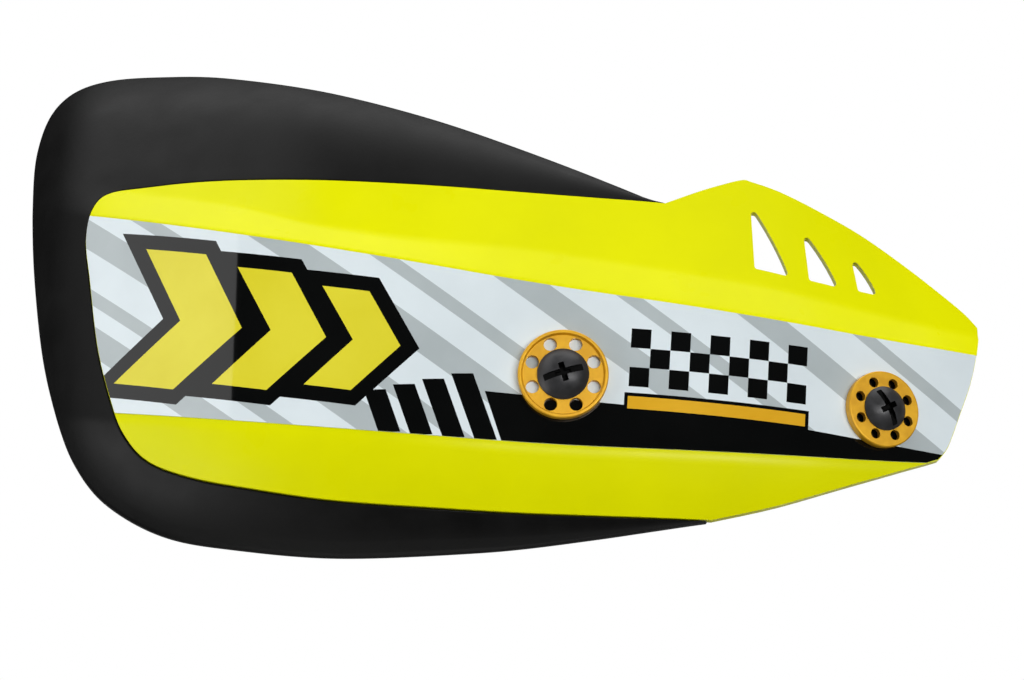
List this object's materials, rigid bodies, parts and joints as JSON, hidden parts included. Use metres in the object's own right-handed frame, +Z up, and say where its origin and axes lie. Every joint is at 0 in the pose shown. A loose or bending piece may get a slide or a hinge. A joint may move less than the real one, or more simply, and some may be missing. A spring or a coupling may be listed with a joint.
{
  "type": "motorcycle hand guard",
  "caption": "Curved right-hand motorcycle hand guard: rigid shield edged by a soft shroud, gloss decal, vented washers and through screws with lock nuts.",
  "frame": {"origin": "on the outer screw's axis, where its free stud leaves the lock nut", "axes": "+X along the guard towards the rider's centre line, +Y back to the bracket along the outer stud, +Z up"},
  "size_m": [0.2564, 0.0702, 0.1416],
  "materials": {
    "yellow_shield": "moulded yellow thermoplastic, glossy",
    "black_shroud": "soft black co-moulded elastomer, satin",
    "decal_film": "printed vinyl under a clear gloss laminate",
    "gold_washer": "turned aluminium, gold anodised",
    "black_screw": "steel, black coated",
    "zinc_hardware": "zinc plated steel",
    "nylon_ring": "dyed nylon"
  },
  "bodies": {
    "root": {"core_shield": "yellow_shield", "soft_shroud": "black_shroud", "decal": "decal_film", "outer_vented_washer": "gold_washer", "inner_vented_washer": "gold_washer", "outer_screw": "black_screw", "inner_screw": "black_screw", "outer_back_washer": "zinc_hardware", "inner_back_washer": "zinc_hardware", "outer_lock_nut": "zinc_hardware", "inner_lock_nut": "zinc_hardware", "outer_nut_ring": "nylon_ring", "inner_nut_ring": "nylon_ring"}
  },
  "joints": []
}
